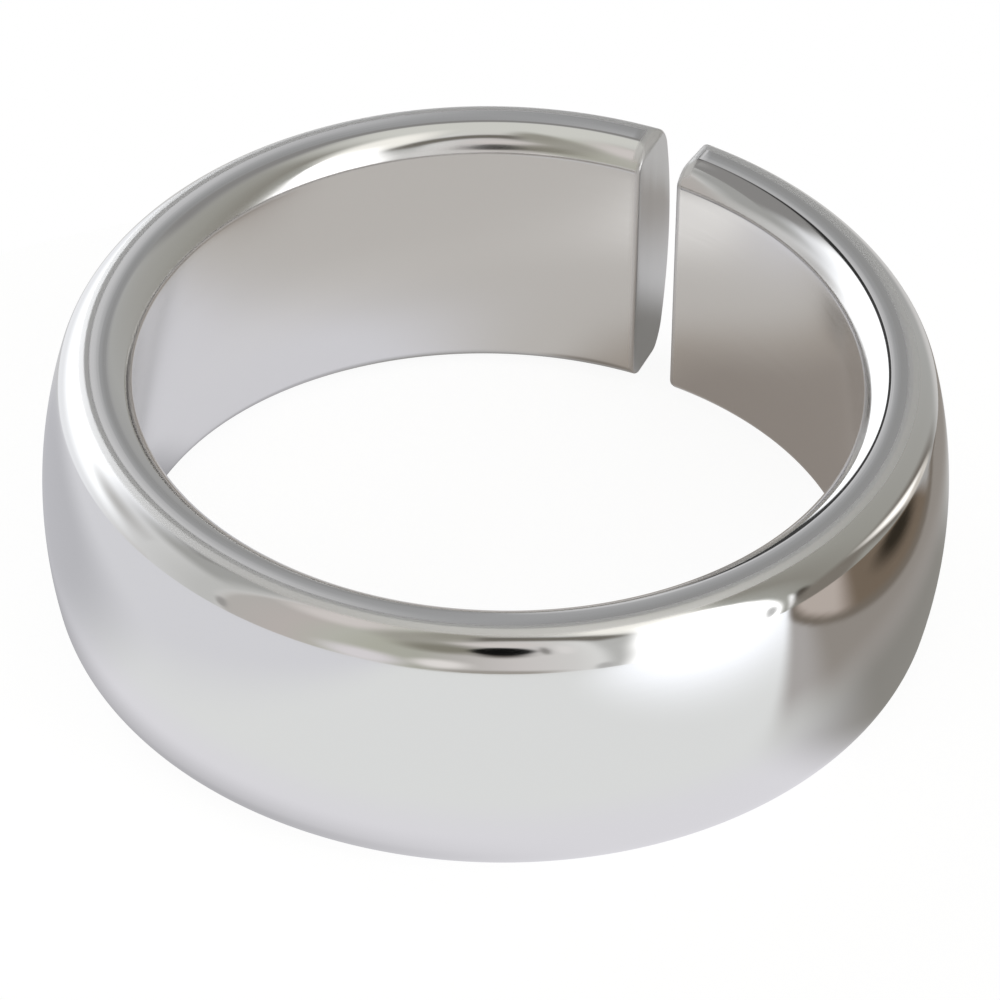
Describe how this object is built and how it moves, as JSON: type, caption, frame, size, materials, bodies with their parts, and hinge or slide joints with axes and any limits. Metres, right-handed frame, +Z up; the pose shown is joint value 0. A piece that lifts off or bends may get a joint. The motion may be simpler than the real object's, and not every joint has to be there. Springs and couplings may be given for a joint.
{
  "type": "adjustable thumb ring",
  "caption": "Plain open band ring with a domed outside and a straight bore, split across so that it can be eased wider or tighter on a thumb.",
  "frame": {"origin": "on the surface that the ring lies on, at the foot of the bore's axis", "axes": "+Z up along the bore's axis, +Y through the middle of the split, +X to the right of it"},
  "size_m": [0.0242, 0.0242, 0.008],
  "materials": {
    "silver": "polished sterling silver, mirror-bright outside and on the rims, a softer sheen inside the bore"
  },
  "bodies": {
    "root": {"band": "silver"}
  },
  "joints": []
}
